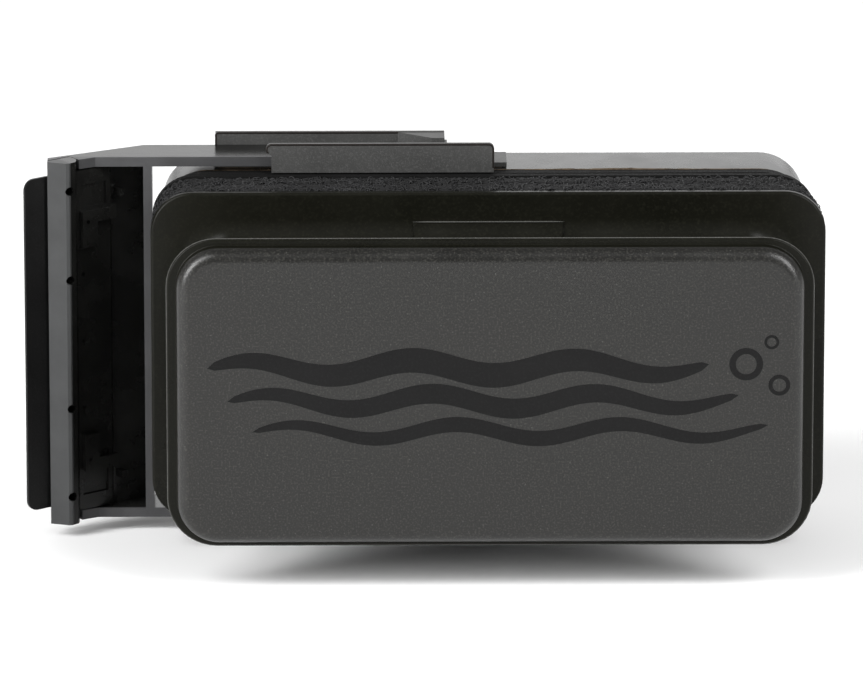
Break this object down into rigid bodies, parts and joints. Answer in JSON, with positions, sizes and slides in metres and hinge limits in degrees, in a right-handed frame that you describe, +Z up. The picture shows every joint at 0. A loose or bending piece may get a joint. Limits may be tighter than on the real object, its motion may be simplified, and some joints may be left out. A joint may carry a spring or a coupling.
{
  "type": "magnetic glass cleaner",
  "caption": "Magnetic aquarium glass cleaner: gripped dry half, floating wet half with scrub pad, and a slide-on scraper frame with a clamped blade.",
  "frame": {"origin": "centre of the plane where the felt pad meets the scrub pad, at mid height of the dry half", "axes": "+X along the length, away from the scraper blade; +Y through the glass from the dry half to the wet half; +Z up"},
  "size_m": [0.1637, 0.064, 0.083],
  "materials": {
    "textured_black": "fine spark texture, satin",
    "wet_black": "fine texture, satin",
    "clip_grey": "smooth satin",
    "scraper_grey": "smooth satin",
    "clamp_black": "moulded, slightly glossy",
    "blade_black": "smooth matt blade",
    "felt": "dense felt",
    "scrub": "coarse looped scrub fabric",
    "backing": "smooth",
    "adhesive": "amber glue",
    "magnet": "sintered",
    "steel": "plated sheet",
    "foam": "closed-cell foam"
  },
  "bodies": {
    "dry_half": {"dry_shell": "textured_black", "dry_base_plate": "clip_grey", "dry_magnet_left": "magnet", "dry_magnet_right": "magnet", "dry_magnet_cradle": "clip_grey", "dry_keeper_plate": "steel", "dry_spacer_foam": "foam", "felt_adhesive": "adhesive", "felt_pad": "felt"},
    "wet_half": {"wet_shell": "wet_black", "wet_base_plate": "wet_black", "wet_magnet_left": "magnet", "wet_magnet_right": "magnet", "wet_keeper_plate": "steel", "wet_float_foam": "foam", "scrub_backing": "backing", "scrub_pad": "scrub", "upper_side_clip": "clip_grey", "lower_side_clip": "clip_grey", "clip_adhesive": "adhesive"},
    "scraper": {"scraper_frame": "scraper_grey"},
    "blade_clamp": {"blade_clamp": "clamp_black"},
    "upper_snap_arm": {"upper_snap_arm": "clamp_black"},
    "lower_snap_arm": {"lower_snap_arm": "clamp_black"},
    "blade": {"blade": "blade_black"}
  },
  "joints": [
    {"name": "halves_apart", "type": "slide", "parent": "dry_half", "child": "wet_half", "axis": [0, 1, 0], "range_m": [0, 0.06], "stiffness_N_per_m": 50, "springref_m": -0.1},
    {"name": "scraper_slide", "type": "slide", "parent": "wet_half", "child": "scraper", "axis": [-1, 0, 0], "range_m": [0, 0.058]},
    {"name": "clamp_hinge", "type": "hinge", "parent": "scraper", "child": "blade_clamp", "pos_m": [-0.07793, 0.00972, 0], "axis": [0, 0, 1], "range_deg": [0, 40]},
    {"name": "blade_draw", "type": "slide", "parent": "scraper", "child": "blade", "axis": [-0.7986, -0.6018, 0], "range_m": [0, 0.012]},
    {"name": "upper_snap_turn", "type": "hinge", "parent": "blade_clamp", "child": "upper_snap_arm", "pos_m": [-0.08211, 0.00563, 0.0216], "axis": [0.6018, -0.7986, 0], "range_deg": [-6, 6], "stiffness_Nm_per_rad": 0.05},
    {"name": "lower_snap_turn", "type": "hinge", "parent": "blade_clamp", "child": "lower_snap_arm", "pos_m": [-0.08211, 0.00563, -0.0216], "axis": [0.6018, -0.7986, 0], "range_deg": [-6, 6], "stiffness_Nm_per_rad": 0.05}
  ]
}
